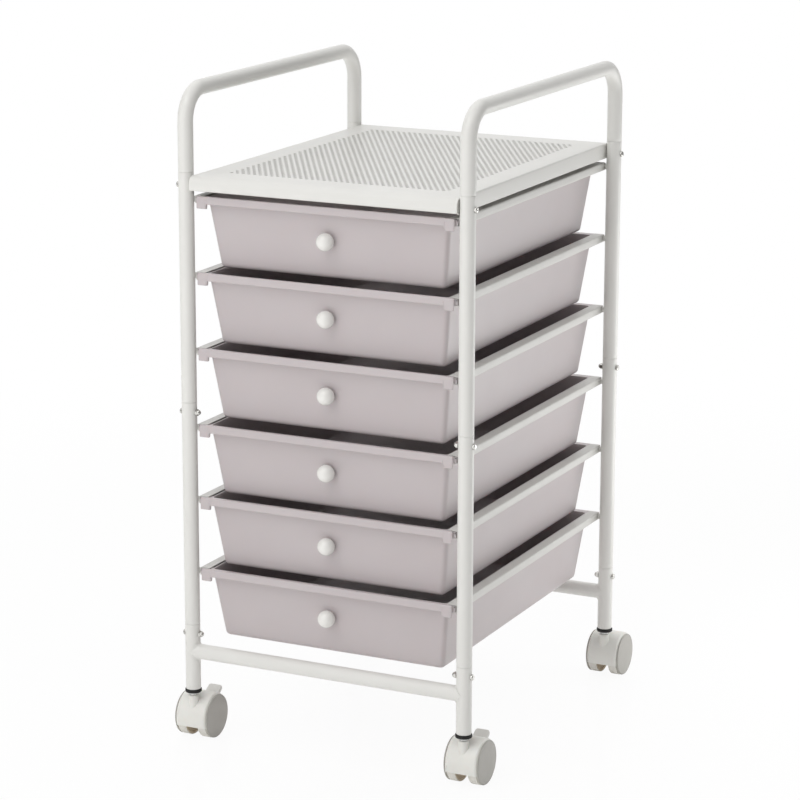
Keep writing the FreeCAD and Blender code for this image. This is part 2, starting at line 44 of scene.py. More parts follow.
post = {"x": 157.0, "y": 190.25, "radius": 8.0, "bore": 7.0, "footLow": 57.2, "seams": (129.0, 369.0, 609.0)}
railTops = (585.2, 506.1, 427.0, 346.3, 268.8, 191.3)     # upper faces of the rails, from drawer 1 down
columns = 56                                   # points round a tube
sharpAngle = 32                                # degrees; steeper edges are drawn sharp
wavesPerRing = 0.314                           # wave texture scale times the size of one band


# Surfaces on grids.

def gridQuads(rows, across, closeRows=False, closeAcross=True):
    # Four-sided faces between neighbours of a grid of points that is counted row by row.
    r, c = np.meshgrid(np.arange(rows - (not closeRows)), np.arange(across - (not closeAcross)), indexing="ij")
    nextR, nextC = (r + 1) % rows, (c + 1) % across
    quad = [r * across + c, r * across + nextC, nextR * across + nextC, nextR * across + c]
    return np.stack(quad, -1).reshape(-1, 4)


def gridShell(points, closeRows=False, numbers=0):
    # Shell from a rows x columns x 3 array; numbers gives the material of each row of faces.
    rows, across = points.shape[:2]
    quads = gridQuads(rows, across, closeRows)
    if np.ndim(numbers):
        numbers = np.repeat(numbers, len(quads) // len(numbers))
    return points.reshape(-1, 3), quads, numbers


def turnedShell(profile, closeRows=False, axis="z", numbers=0, around=columns):
    # Surface of revolution: each (radius, height) goes round the axis; radius zero is a pole.
    angle = np.linspace(0, 2 * np.pi, around, endpoint=False)
    radius, height = np.array(profile, float).T[:, :, None]
    a, b, c = radius * np.cos(angle), radius * np.sin(angle), height + 0 * angle
    return gridShell(np.stack((a, b, c) if axis == "z" else (c, a, b), -1), closeRows, numbers)


def sheetShell(outer, inner):
    # Sheet between two surfaces on the same grid: both faces and the cut edge that joins their borders.
    rows, across = outer.shape[:2]
    count = rows * across
    face = gridQuads(rows, across, False, False)
    index = np.arange(count).reshape(rows, across)
    loop = np.concatenate([index[0], index[1:, -1], index[-1, -2::-1], index[-2:0:-1, 0]])
    after = np.roll(loop, -1)
    edge = np.stack([after, loop, loop + count, after + count], -1)
    quads = np.concatenate([face, face[:, ::-1] + count, edge])
    return np.concatenate([outer.reshape(-1, 3), inner.reshape(-1, 3)]), quads, 0


def carriedSheet(chains, reach, column=1):
    # Sheet from the chains of its outer and its inner face, carried from -reach to reach along one axis.
    return sheetShell(*(np.stack([np.insert(chain, column, end, 1) for end in (-reach, reach)])
                        for chain in chains))


def rounded(points, radii, steps, closed=True):
    # Outline with rounded corners: each corner becomes an arc that touches both of its edges.
    points = np.array(points, float)
    last = len(points) - 1
    pieces = []
    for i, (corner, radius) in enumerate(zip(points, radii)):
        if radius <= 0 or (not closed and i in (0, last)):
            pieces.append(corner[None])
            continue
        back, ahead = points[i - 1] - corner, points[(i + 1) % len(points)] - corner
        back, ahead = back / np.linalg.norm(back), ahead / np.linalg.norm(ahead)
        half = math.acos(np.clip(back @ ahead, -1, 1)) / 2
        centre = corner + (back + ahead) / np.linalg.norm(back + ahead) * radius / math.sin(half)
        start = corner + back * radius / math.tan(half) - centre
        end = corner + ahead * radius / math.tan(half) - centre
        first, final = math.atan2(start[1], start[0]), math.atan2(end[1], end[0])
        angle = first + ((final - first + np.pi) % (2 * np.pi) - np.pi) * np.linspace(0, 1, steps + 1)
        pieces.append(centre + radius * np.stack([np.cos(angle), np.sin(angle)], -1))
    return np.concatenate(pieces)


def insetLoop(loop, inset):
    # Closed anticlockwise outline moved inwards by an even distance, along its mitred normals.
    edge = np.roll(loop, -1, 0) - loop
    normal = np.stack([-edge[:, 1], edge[:, 0]], -1) / np.linalg.norm(edge, axis=1)[:, None]
    before = np.roll(normal, 1, 0)
    mitre = (normal + before) / (1 + np.sum(normal * before, 1))[:, None]
    return loop + mitre * inset


def slabShell(lower, upper, rows):
    # Slab across Y from a lower and an upper edge with the same count; rows are (inset, depth), front to back.
    loop = np.concatenate([lower, upper[::-1]])
    count = len(loop)
    rings = [np.insert(insetLoop(loop, inset), 1, depth, 1) for inset, depth in rows]
    points, quads, numbers = gridShell(np.stack(rings))
    low = np.arange(len(lower) - 1)
    cap = np.stack([low + 1, low, count - 1 - low, count - 2 - low], -1)
    final = count * (len(rows) - 1)
    return points, np.concatenate([quads, cap, cap[:, ::-1] + final]), numbers


def edgeRows(front, back, radius, steps=4):
    # (inset, depth) rows of a slab with quarter-round edges at its front and its back; a further row on each
    # face keeps it flat.
    turn = np.linspace(0, np.pi / 2, steps + 1)
    inset, depth = radius * (1 - np.sin(turn)), radius * (1 - np.cos(turn))
    face = radius + 0.4
    ahead = [(face, front)] + list(zip(inset, front + depth))
    behind = list(zip(inset, back - depth))[::-1] + [(face, back)]
    return ahead + behind


def addObject(name, data):
    item = bpy.data.objects.new(name, data)
    bpy.context.scene.collection.objects.link(item)
    return item


def makePiece(name, shells, materials, body, nodes):
    # One object from closed shells: doubles are merged at seams and poles, and faces turned outwards.
    allPoints, faces, numbers = [], [], []
    start = 0
    for points, quads, number in shells:
        points, index = np.unique(np.round(points, 4), axis=0, return_inverse=True)
        quads = index.reshape(-1)[quads]
        a, b, c, d = (points[quads[:, i]] for i in range(4))
        volume = np.sum(a * np.cross(b, c)) + np.sum(a * np.cross(c, d))
        quads = (quads if volume > 0 else quads[:, ::-1]) + start
        number = np.broadcast_to(number, len(quads))
        found = [(tuple(dict.fromkeys(quad)), n) for quad, n in zip(quads.tolist(), number.tolist())]
        faces += [face for face, n in found if len(face) > 2]
        numbers += [n for face, n in found if len(face) > 2]
        allPoints.append(points)
        start += len(points)
    mesh = bpy.data.meshes.new(name)
    mesh.from_pydata(((np.concatenate(allPoints) + rowShift) * mm).tolist(), [], faces)
    for material in materials:
        mesh.materials.append(material)
    mesh.polygons.foreach_set("material_index", numbers)
    mesh.polygons.foreach_set("use_smooth", np.ones(len(mesh.polygons), bool))
    mesh.set_sharp_from_angle(angle=math.radians(sharpAngle))
    mesh.update()
    piece = addObject(name, mesh)
    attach(piece, body)
    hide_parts(*nodes)


def placed(shell, x=0.0, y=0.0, z=0.0):
    return shell[0] + np.array([x, y, z]), shell[1], shell[2]


def mirroredX(shell):
    return shell[0] * np.array([-1.0, 1.0, 1.0]), shell[1], shell[2]


def bothSides(shell):
    return [shell, mirroredX(shell)]


# Materials.

def linear(hexColour):
    # sRGB hex, as a painter names it, to the linear colour that shaders take.
    parts = [int(hexColour[i:i + 2], 16) / 255 for i in (1, 3, 5)]
    return tuple(p / 12.92 if p <= 0.04045 else ((p + 0.055) / 1.055) ** 2.4 for p in parts) + (1.0,)


def addNode(tree, kind, settings={}, values={}, links={}):
    # One node: settings are its own options, values go into its inputs, links bring other nodes' outputs.
    node = tree.nodes.new(kind)
    for key, value in settings.items():
        setattr(node, key, value)
    for key, value in values.items():
        node.inputs[key].default_value = value
    for key, socket in links.items():
        tree.links.new(socket, node.inputs[key])
    return node


def emptyTree(owner):
    # Node tree of a material or world, cleared.
    owner.use_nodes = True
    owner.node_tree.nodes.clear()
    return owner.node_tree


def makeMaterial(name, look):
    # A finish from its dictionary: two tones that drift into each other, uneven gloss and a fine relief.
    material = bpy.data.materials.new(name)
    tree = emptyTree(material)
    place = addNode(tree, "ShaderNodeTexCoord").outputs["Object"]
    drift = addNode(tree, "ShaderNodeTexNoise", values={"Scale": 1 / (look["driftSize"] * mm), "Detail": 3.0},
                    links={"Vector": place})
    first, second = (linear(colour) for colour in look["colours"])
    tone = addNode(tree, "ShaderNodeMix", {"data_type": "RGBA"}, {"A": first, "B": second},
                   {"Factor": drift.outputs["Fac"]})
    smudge = addNode(tree, "ShaderNodeTexNoise", values={"Scale": 1 / (look["smudgeSize"] * mm), "Detail": 4.0},
                     links={"Vector": place})
    low, high = look["roughness"]
    gloss = addNode(tree, "ShaderNodeMapRange", links={"Value": smudge.outputs["Fac"]},
                    values={"From Min": 0.3, "From Max": 0.7, "To Min": low, "To Max": high})
    if "ringSize" in look:
        relief = addNode(tree, "ShaderNodeTexWave", {"wave_type": "BANDS", "bands_direction": look["ringAxis"]},
                         {"Scale": wavesPerRing / (look["ringSize"] * mm), "Distortion": 1.5, "Detail": 2.0},
                         {"Vector": place})
    else:
        relief = addNode(tree, "ShaderNodeTexNoise", links={"Vector": place},
                         values={"Scale": 1 / (look["grainSize"] * mm), "Detail": 2.0})
    bump = addNode(tree, "ShaderNodeBump", links={"Height": relief.outputs["Fac"]},
                   values={"Strength": look["grainStrength"], "Distance": look["grainDepth"] * mm})
    shader = addNode(tree, "ShaderNodeBsdfPrincipled", values=look["shader"],
                     links={"Base Color": tone.outputs["Result"], "Roughness": gloss.outputs["Result"],
                            "Normal": bump.outputs["Normal"]})
    addNode(tree, "ShaderNodeOutputMaterial", links={"Surface": shader.outputs["BSDF"]})
    return material


# Powder coat on steel, sprayed dry and baked: a soft white sheen with a shallow orange peel, about 1.5 mm
# from crest to crest.
frameCoat = makeMaterial("powderCoatWhite", {
    "colours": ("#e7e6e2", "#e2e1dd"), "driftSize": 60, "smudgeSize": 18, "roughness": (0.32, 0.42),
    "grainSize": 1.5, "grainStrength": 0.35, "grainDepth": 0.05,
    "shader": {"IOR": 1.5, "Coat Weight": 0.15, "Coat Roughness": 0.2}})

# Same coat on the roll-formed rails, darkened as painted shade: the greyer colour stands in for the shadow that
# the drawers above cast on the narrow rails.
shadedRailCoat = makeMaterial("powderCoatStripPaintedShade", {
    "colours": ("#d9d8d4", "#d3d2ce"), "driftSize": 50, "smudgeSize": 15, "roughness": (0.36, 0.46),
    "grainSize": 1.4, "grainStrength": 0.35, "grainDepth": 0.05, "shader": {"IOR": 1.5}})

# Same coat on the perforated sheet, a little drier where the spray met the flat sheet.
shelfCoat = makeMaterial("powderCoatSheet", {
    "colours": ("#e6e5e1", "#e0dfdb"), "driftSize": 80, "smudgeSize": 22, "roughness": (0.36, 0.46),
    "grainSize": 1.6, "grainStrength": 0.35, "grainDepth": 0.05,
    "shader": {"IOR": 1.5, "Coat Weight": 0.1, "Coat Roughness": 0.25}})

# Polypropylene, injection moulded in a lightly etched mould: satin, a slow drift of tone from the flow,
# and a fine grain. The real grain is near 0.3 mm; it is drawn at 0.8 mm so that it shows.
drawerPlastic = makeMaterial("mouldedPolypropylene", {
    "colours": ("#c7bfc0", "#c1b8b9"), "driftSize": 90, "smudgeSize": 35, "roughness": (0.3, 0.37),
    "grainSize": 0.8, "grainStrength": 0.25, "grainDepth": 0.04,
    "shader": {"IOR": 1.49, "Subsurface Weight": 0.04, "Subsurface Scale": 0.002}})

# ABS, moulded in a polished mould: glossy, with the slightest waviness left by shrinkage, 6 mm long.
knobPlastic = makeMaterial("polishedAbs", {
    "colours": ("#efeeea", "#eae8e4"), "driftSize": 12, "smudgeSize": 6, "roughness": (0.12, 0.2),
    "grainSize": 6, "grainStrength": 0.3, "grainDepth": 0.05,
    "shader": {"IOR": 1.53, "Coat Weight": 0.3, "Coat Roughness": 0.05}})

# Nickel plate on pressed steel: bright, faintly clouded, with fine forming marks near 0.5 mm.
brightPlate = makeMaterial("nickelPlatedSteel", {
    "colours": ("#d3d2ce", "#c6c5c1"), "driftSize": 2.5, "smudgeSize": 1.5,
    "roughness": (0.14, 0.28), "grainSize": 0.5, "grainStrength": 0.2, "grainDepth": 0.02,
    "shader": {"Metallic": 1.0}})

# Zinc plate on turned steel: the tool's rings, 0.5 mm apart, run round the stem and its collar.
stemSteel = makeMaterial("zincPlatedTurnedSteel", {
    "colours": ("#cfcfcd", "#bfc0c0"), "driftSize": 4, "smudgeSize": 2, "roughness": (0.2, 0.32),
    "ringSize": 0.5, "ringAxis": "Z", "grainStrength": 0.4, "grainDepth": 0.03, "shader": {"Metallic": 1.0}})

# Cold-drawn axle steel: dull drawing lines along the pin, 0.4 mm apart.
axleSteel = makeMaterial("drawnSteel", {
    "colours": ("#a9a8a5", "#9b9a97"), "driftSize": 3, "smudgeSize": 2, "roughness": (0.3, 0.45),
    "ringSize": 0.4, "ringAxis": "Z", "grainStrength": 0.3, "grainDepth": 0.02, "shader": {"Metallic": 1.0}})

# High-density polyethylene insert, moulded black: waxy and matt, with a coarse etched grain.
blackInsert = makeMaterial("blackPolyethylene", {
    "colours": ("#0d0d0c", "#151514"), "driftSize": 5, "smudgeSize": 4, "roughness": (0.5, 0.65),
    "grainSize": 0.6, "grainStrength": 0.3, "grainDepth": 0.04, "shader": {"IOR": 1.45}})

# Nylon caster hood, moulded off-white: satin, with a grain near 0.6 mm.
hoodNylon = makeMaterial("mouldedNylon", {
    "colours": ("#eae9e4", "#e3e2dc"), "driftSize": 15, "smudgeSize": 9, "roughness": (0.34, 0.46),
    "grainSize": 0.6, "grainStrength": 0.25, "grainDepth": 0.04,
    "shader": {"IOR": 1.53, "Subsurface Weight": 0.03, "Subsurface Scale": 0.002}})

# Nylon tread of the wheel: off-white, rubbed duller by rolling.
treadNylon = makeMaterial("rolledNylon", {
    "colours": ("#e2e0da", "#d6d3cb"), "driftSize": 6, "smudgeSize": 5, "roughness": (0.42, 0.6),
    "grainSize": 0.9, "grainStrength": 0.35, "grainDepth": 0.05, "shader": {"IOR": 1.53}})

# Grey cover disc of the wheel, ABS with a satin finish.
discAbs = makeMaterial("satinAbsGrey", {
    "colours": ("#b4b2ac", "#aeaba5"), "driftSize": 14, "smudgeSize": 8, "roughness": (0.34, 0.44),
    "grainSize": 0.6, "grainStrength": 0.25, "grainDepth": 0.03, "shader": {"IOR": 1.53}})

# Inner side of the wheel: the same nylon, left rough from the mould and darker.
innerNylon = makeMaterial("roughNylonTan", {
    "colours": ("#d6c7b1", "#c9b9a2"), "driftSize": 8, "smudgeSize": 6, "roughness": (0.5, 0.65),
    "grainSize": 1.0, "grainStrength": 0.4, "grainDepth": 0.06, "shader": {"IOR": 1.53}})

# Brake lever, ABS moulded light grey.
leverAbs = makeMaterial("mouldedAbsPale", {
    "colours": ("#e3e2de", "#dcdbd6"), "driftSize": 10, "smudgeSize": 6, "roughness": (0.3, 0.42),
    "grainSize": 0.6, "grainStrength": 0.25, "grainDepth": 0.04, "shader": {"IOR": 1.53}})

# Parts that are shown by their own solids.
keptFinishes = {"caster_hood": hoodNylon, "caster_axle": axleSteel, "frame_bolts": brightPlate,
                "shelf_screws": brightPlate, "cap_nuts": brightPlate, "caster_stems": stemSteel}
for nodeName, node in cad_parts.items():
    for start, material in keptFinishes.items():
        if nodeName.startswith(start):
            node.data.materials.clear()
            node.data.materials.append(material)
print("materials made")


# Frame tubes.

tubeLook = {"edge": 0.45, "hold": 4, "neck": 3.0, "spigot": 25.0, "spigotOuter": 6.9, "spigotInner": 5.9,
            "bendSteps": 18, "barZ": 691.1, "bendRadius": 32.0, "crossbarZ": 98.9}


def sectionProfile(low, high, spigot=True):
    # Straight tube as a closed (radius, height) loop: outside up, inside down; edge is the break at each end,
    # and a spigot is the reduced end that enters the tube below.
    t = tubeLook
    edge, hold, outer, bore = t["edge"], t["hold"], post["radius"], post["bore"]
    cut = edge * 0.3
    outside = [(outer - edge, low), (outer - cut, low + cut), (outer, low + edge), (outer, low + hold),
               (outer, high - hold), (outer, high - edge), (outer - cut, high - cut), (outer - edge, high),
               (bore, high)]
    if not spigot:
        return outside + [(bore, low)]
    neck, reach = low + t["neck"], low - t["spigot"]
    return outside + [(bore, neck), (t["spigotInner"], neck), (t["spigotInner"], reach),
                      (t["spigotOuter"], reach), (t["spigotOuter"], low)]


def handleShell():
    # Circle carried along a bent line: leg up, quarter arc, level bar, quarter arc, leg down, then back inside.
    t = tubeLook
    low, barZ, bend = post["seams"][2], t["barZ"], t["bendRadius"]
    turnY, turnZ, edge, outer = post["y"] - bend, barZ - bend, t["edge"], post["radius"]
    arc = np.linspace(0, np.pi / 2, t["bendSteps"] + 1)[1:]
    sleeve, hold, cut = t["spigotOuter"], t["hold"], edge * 0.3
    feet = [(low - t["spigot"], sleeve), (low, sleeve), (low, outer - edge), (low + cut, outer - cut),
            (low + edge, outer), (low + hold, outer), (turnZ - 2, outer), (turnZ, outer)]
    line = [(-post["y"], z, 0.0, r) for z, r in feet]
    line += [(-turnY - bend * math.cos(a), turnZ + bend * math.sin(a), a, outer) for a in arc]
    line += [(-turnY + 2, barZ, np.pi / 2, outer), (turnY - 2, barZ, np.pi / 2, outer)]
    line += [(-y, z, np.pi - a, r) for y, z, a, r in line[-3::-1]]
    inside = [(y, z, a, t["spigotInner"]) for y, z, a, r in line[::-1]]
    y, z, lean, radius = np.array(line + inside).T[:, :, None]
    angle = np.linspace(0, 2 * np.pi, columns, endpoint=False)
    out = radius * np.cos(angle)
    points = np.stack([radius * np.sin(angle), y - out * np.cos(lean), z + out * np.sin(lean)], -1)
    return gridShell(points, True)


# Weld round a crossbar's end; sink is how far the crossbar runs on into the foot.
weldLook = {"height": 1.7, "reach": 2.2, "ripple": 0.12, "ripples": 26, "sink": 0.5}


def crossbarShell():
    # Tube along X whose ends follow the feet: at each angle it stops where a foot's wall stands, and it swells
    # there into the weld by a square law.
    w = weldLook
    height = tubeLook["crossbarZ"]
    angle = np.linspace(0, 2 * np.pi, columns, endpoint=False)
    lift = np.abs(np.cos(angle))
    meeting = post["x"] - post["radius"] * lift
    sink, reach = w["sink"], w["reach"]
    fromFoot = np.array([-sink, 0.0, 0.4, 0.8, 1.2, 1.6, reach, 3.0, 8.0])[:, None]
    ripple = w["ripple"] * np.sin(angle * w["ripples"])
    swell = np.clip(1 - np.maximum(fromFoot, 0) / reach, 0, 1) ** 2
    outer = post["radius"] + (w["height"] + ripple) * swell * lift ** 0.7
    x, bore = meeting - fromFoot, (meeting + sink)[None]
    ends = np.concatenate([x, -x[::-1], -bore, bore])
    radius = np.concatenate([outer, outer[::-1], np.full((2, columns), post["bore"])])
    return gridShell(np.stack([ends, radius * np.sin(angle), height + radius * np.cos(angle)], -1), True)


def paintedPiece(name, shells, node, coat=frameCoat):
    makePiece(name, shells, [coat], "frame", [node])


for side, sign in (("left", -1), ("right", 1)):
    paintedPiece("handleTube." + side, [placed(handleShell(), sign * post["x"])], "handle_" + side)
lowSeam, midSeam, topSeam = post["seams"]
for corner, (sideX, endY) in corners.items():
    x, y = sideX * post["x"], endY * post["y"]
    for level, low, high in (("lower", lowSeam, midSeam), ("upper", midSeam, topSeam)):
        tube = turnedShell(sectionProfile(low, high), True)
        paintedPiece(f"{level}Post.{corner}", [placed(tube, x, y)], f"{level}_post_{corner}")
for end, sign in (("front", -1), ("rear", 1)):
    foot = turnedShell(sectionProfile(post["footLow"], lowSeam, False), True)
    shells = [placed(foot, side * post["x"], sign * post["y"]) for side in (-1, 1)]
    paintedPiece("base." + end, shells + [placed(crossbarShell(), 0, sign * post["y"])], "base_" + end)
print("tubes made")


# Drawer rails.

railLook = {"sheet": 0.8, "height": 8.5, "webX": 148.0, "innerX": 137.0, "length": 377.0, "bend": 1.5,
            "beadX": 149.7, "beadSetback": 3.7, "bead": 1.9, "beadInset": 1.2, "scallop": 1.5,
            "scallopDepth": 0.07}


def railShell():
    # C section carried along Y: the same chain of bends on the outer and the inner face of the sheet.
    sheet, height, webX, innerX, bend = (railLook[k] for k in ("sheet", "height", "webX", "innerX", "bend"))
    chains = []
    for skin in (0.0, sheet):
        line = [(innerX, -skin), (webX - skin, -skin), (webX - skin, skin - height), (innerX, skin - height)]
        chains.append(rounded(line, [0, bend - skin, bend - skin, 0], 5, False))
    return carriedSheet(chains, railLook["length"] / 2)


def beadShell():
    # Weld bead: a standing rounded column with ripples, whose radius grows from nothing at both ends.
    r = railLook
    inset = r["beadInset"]
    z = np.linspace(-r["height"] + inset, -inset, 29)
    share = (z - z[0]) / (z[-1] - z[0])
    radius = r["bead"] * np.clip(np.sin(np.pi * share) * 2.4, 0, 1) ** 0.5
    radius = radius * (1 + r["scallopDepth"] * np.cos(2 * np.pi * z / r["scallop"]))
    return turnedShell(np.stack([radius, z], -1), around=20)


for i, top in enumerate(railTops):
    for side in ("left", "right"):
        ends = [sign * (post["y"] - railLook["beadSetback"]) for sign in (-1, 1)]
        shells = [placed(railShell(), z=top)] + [placed(beadShell(), railLook["beadX"], y, top) for y in ends]
        if side == "left":
            shells = [mirroredX(shell) for shell in shells]
        # The rails take the darkened coat, which paints in their shade.
        paintedPiece(f"rail.{i + 1}.{side}", shells, f"rail_{i + 1}_{side}", shadedRailCoat)
print("rails made")


# Top shelf.

shelfLook = {"top": 606.0, "sheet": 1.0, "halfX": 148.9, "plateX": 147.3, "plateY": 190.0, "halfY": 199.0,
             "flangeLow": 590.0, "flangeBend": 1.6, "flangeEnd": 195.0, "lipRadius": 8.0, "lipLow": 591.0,
             "lipLowRadius": 2.0, "lipReturn": 7.0, "holePitch": 6.6, "holeRadius": 2.0, "holesAcross": 37,
             "holeRows": 57, "endPlay": 0.2, "endSheet": 0.9, "endSetback": 0.4}


def perforatedShell():
    # Plate laid in rows of cells like bricks, each cell a ring of faces between its border and a round hole;
    # every other row is shifted by half a cell, and a plain half cell fills the end that a row leaves free.
    s = shelfLook
    pitch = s["holePitch"]
    rise = pitch * math.sqrt(3) / 2
    across, rows = s["holesAcross"], s["holeRows"]
    startX, startY = -across * pitch / 2 - pitch / 4, -rows * rise / 2
    shift = (np.arange(rows) % 2) * pitch / 2
    centreX = startX + shift[:, None] + (np.arange(across) + 0.5) * pitch
    centreY = np.broadcast_to((startY + (np.arange(rows) + 0.5) * rise)[:, None], centreX.shape)
    centre = np.stack([centreX, centreY], -1).reshape(-1, 1, 2)
    quarter, half = pitch / 4, rise / 2
    border = np.array([(2, 0), (2, 1), (1, 1), (0, 1), (-1, 1), (-2, 1), (-2, 0), (-2, -1), (-1, -1), (0, -1),
                       (1, -1), (2, -1)]) * (quarter, half)
    angle = np.arctan2(border[:, 1], border[:, 0])
    hole = s["holeRadius"] * np.stack([np.cos(angle), np.sin(angle)], -1)
    loops = np.stack([centre + border, centre + hole], 1)     # cell, ring, point, xy
    around = len(border)
    base, point = (np.arange(len(loops)) * around * 2)[:, None], np.arange(around)
    after = (point + 1) % around
    nearHole, nextHole = base + around + point, base + around + after
    ring = np.stack([base + point, base + after, nextHole, nearHole], -1).reshape(-1, 4)
    flats, flatQuads = [loops.reshape(-1, 2)], [ring]
    count = len(loops) * around * 2
    endX = startX + across * pitch + pitch / 2
    ends = np.where(np.arange(rows) % 2 == 0, endX - pitch / 2, startX)
    for row, x in enumerate(ends):                            # half cells
        xs, ys = x + np.arange(3) * quarter, startY + row * rise + np.arange(3) * half
        flats.append(np.stack(np.meshgrid(xs, ys), -1).reshape(-1, 2))
        flatQuads.append(gridQuads(3, 3, False, False) + count)
        count += 9
    stationsX = np.arange(round((endX - startX) / quarter) + 1) * quarter + startX
    stationsY = startY + np.arange(rows * 2 + 1) * half
    plateX, plateY = s["plateX"], s["plateY"]
    fullY = np.concatenate([[-plateY], stationsY, [plateY]])
    margins = [((-plateX, startX), fullY), ((endX, plateX), fullY), (stationsX, (-plateY, startY)),
               (stationsX, (-startY, plateY))]
    for xs, ys in margins:
        flats.append(np.stack(np.meshgrid(xs, ys), -1).reshape(-1, 2))
        flatQuads.append(gridQuads(len(ys), len(xs), False, False) + count)
        count += len(xs) * len(ys)
    flat, quads = np.concatenate(flats), np.concatenate(flatQuads)
    top, low = s["top"], s["top"] - s["sheet"]
    upper, lower = np.insert(flat, 2, top, 1), np.insert(flat, 2, low, 1)
    wall = np.stack([nearHole, nextHole, nextHole + count, nearHole + count], -1)
    outline = [(x, -plateY) for x in np.concatenate([[-plateX], stationsX, [plateX]])]
    outline += [(plateX, y) for y in fullY[1:]]
    outline += [(x, plateY) for x in np.concatenate([stationsX[::-1], [-plateX]])]
    outline += [(-plateX, y) for y in fullY[-2:0:-1]]
    rim = np.array(outline)
    near, size = np.arange(len(rim)), len(rim)
    after = (near + 1) % size
    rimQuads = np.stack([after, near, near + size, after + size], -1) + 2 * count
    points = np.concatenate([upper, lower, np.insert(rim, 2, top, 1), np.insert(rim, 2, low, 1)])
    # The rings run anticlockwise, as seen from above.
    return points, np.concatenate([quads, quads[:, ::-1] + count, wall.reshape(-1, 4)[:, ::-1], rimQuads]), 0


def wingShell():
    # Side flange: a bend of the sheet from the plate's edge down to the flange's lower edge, carried along Y.
    s = shelfLook
    bend, sheet, halfX = s["flangeBend"], s["sheet"], s["halfX"]
    chains = []
    for skin in (0.0, sheet):
        line = [(s["plateX"], s["top"] - skin), (halfX - skin, s["top"] - skin),
                (halfX - skin, s["flangeLow"])]
        chains.append(rounded(line, [0, bend - skin, 0], 6, False))
    return carriedSheet(chains, s["plateY"])


def flangeEndShell(end):
    # Tongue of the flange that runs on behind the rolled edge.
    s = shelfLook
    outerX, innerX = s["halfX"], s["halfX"] - s["sheet"]
    ys = (end * s["plateY"], end * s["flangeEnd"])
    zs = (s["top"] - s["lipRadius"], s["flangeLow"])
    outer, inner = (np.array([[(x, y, z) for y in ys] for z in zs]) for x in (outerX, innerX))
    return sheetShell(outer, inner)


def lipShell(end):
    # Rolled edge: down from the plate in a wide arc, then back under in a tight one, carried along X.
    s = shelfLook
    sheet, top, halfY = s["sheet"], s["top"], s["halfY"]
    chains = []
    for skin in (0.0, sheet):
        low = s["lipLow"] + skin
        line = [(s["plateY"], top - skin), (halfY - skin, top - skin), (halfY - skin, low),
                (halfY - s["lipReturn"], low)]
        radii = [0, s["lipRadius"] - skin, s["lipLowRadius"] - skin, 0]
        chains.append(rounded(line, radii, 10, False) * (end, 1))
    return carriedSheet(chains, s["halfX"], 0)


def lipEndShell(end):
    # Plate that closes the rolled edge at its right-hand end; its outline follows the roll's inner face.
    s = shelfLook
    turn = np.linspace(0, np.pi / 2, 9)
    play, thickness = s["endPlay"], s["endSheet"]
    roll = s["lipRadius"] - s["sheet"] - play
    centreY, centreZ = s["halfY"] - s["lipRadius"], s["top"] - s["lipRadius"]
    y = np.concatenate([[s["plateY"] - 1.0], centreY + roll * np.sin(turn)])
    z = np.concatenate([[centreZ + roll], centreZ + roll * np.cos(turn)])
    floor = s["lipLow"] + s["sheet"] + play
    lower, upper = np.stack([y, np.full(len(y), floor)], -1), np.stack([y, z], -1)
    face = s["halfX"] - s["endSetback"]
    points, quads, numbers = slabShell(lower, upper, edgeRows(face - thickness, face, 0.2, 2))
    return points[:, [1, 0, 2]] * (1, end, 1), quads, numbers


shells = [perforatedShell(), *bothSides(wingShell()), lipShell(-1), lipShell(1)]
for makeEnd in (flangeEndShell, lipEndShell):
    for end in (-1, 1):
        shells += bothSides(makeEnd(end))
makePiece("perforatedShelf", shells, [shelfCoat], "frame", ["top_shelf"])
print("shelf made")


# Drawers and knobs.

# Heights of drawers and knobs are counted from the upper face of the rails; sink is how far parts that meet
# run into each other, and ease is the break at the flanges' edges.
drawerLook = {"topX": 136.0, "topY": 186.3, "lowX": 126.6, "lowY": 175.3, "top": -1.1, "bottom": -75.0,
              "wall": 1.8, "floor": 2.0, "corner": 5.5, "bottomRound": 4.0, "edge": 0.6, "rimX": 146.45,
              "rimRear": 193.45, "rimFront": -190.0, "rimLow": -7.4, "flange": 2.0, "skirt": 1.5,
              "bandX": 143.95, "bandFront": -193.5, "bandTop": 0.2, "bandLow": -8.0, "bandCorner": 1.8,
              "bandEdge": 0.9, "tabLow": -12.8, "tabIn": 132.5, "sink": 0.05, "ease": 0.4}


def drawerRing(halfX, front, rear, radius, level):
    # Rounded rectangle as one ring of points; two extra points beside each corner keep the flat sides flat.
    steps = 7
    turn = np.linspace(0, np.pi / 2, steps + 1)
    hold = 2.5
    x = np.concatenate([[radius + hold], radius * (1 - np.sin(turn)), [0.0]])
    y = np.concatenate([[0.0], radius * (1 - np.cos(turn)), [radius + hold]])
    left, right = np.stack([-halfX + x, front + y], -1), np.stack([halfX - x, front + y], -1)
    backLeft, backRight = np.stack([-halfX + x, rear - y], -1), np.stack([halfX - x, rear - y], -1)
    return np.insert(np.concatenate([right, backRight[::-1], backLeft, left[::-1]]), 2, level, 1)


